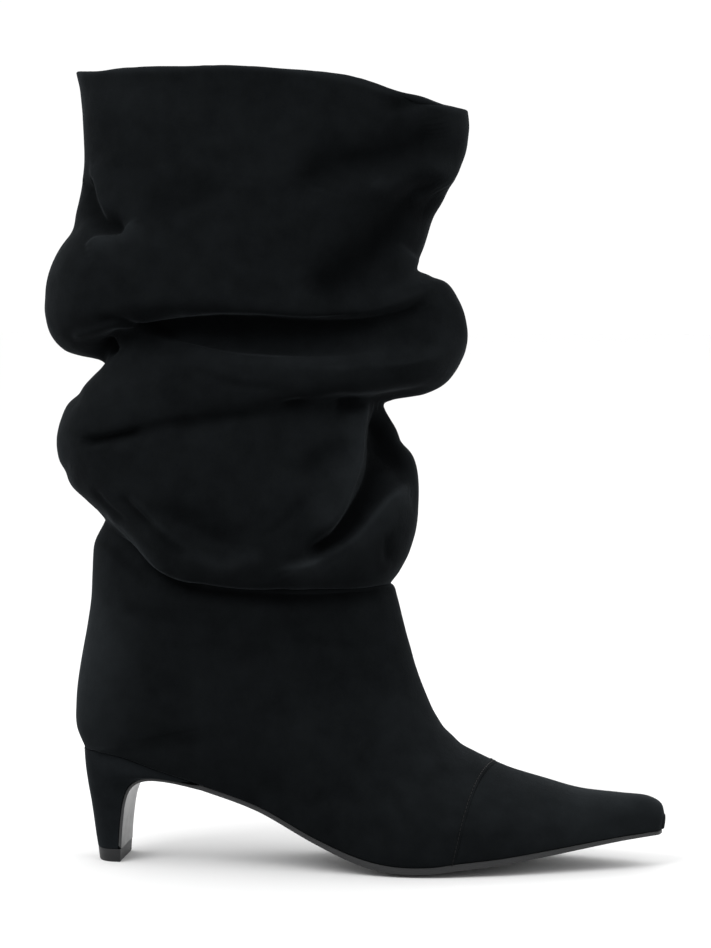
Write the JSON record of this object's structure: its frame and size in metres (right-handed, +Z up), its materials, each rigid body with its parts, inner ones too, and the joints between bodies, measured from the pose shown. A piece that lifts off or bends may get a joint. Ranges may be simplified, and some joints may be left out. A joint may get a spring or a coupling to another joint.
{
  "type": "slouch boot",
  "caption": "Right slouch boot: pointed snipped toe, slack shaft falling in two rolls above the ankle, slim covered heel and thin leather sole.",
  "frame": {"origin": "on the floor, under the centre of the boot's bounding box", "axes": "+X towards the toe, +Y towards the inner side of the foot, +Z up the shaft"},
  "size_m": [0.2864, 0.091, 0.3659],
  "materials": {
    "suede": "matte",
    "insole_leather": "matte",
    "sole_leather": "satin",
    "lift_rubber": "matte"
  },
  "bodies": {
    "root": {"upper": "suede", "insole": "insole_leather", "outsole": "sole_leather", "heel": "suede", "top_lift": "lift_rubber"}
  },
  "joints": []
}
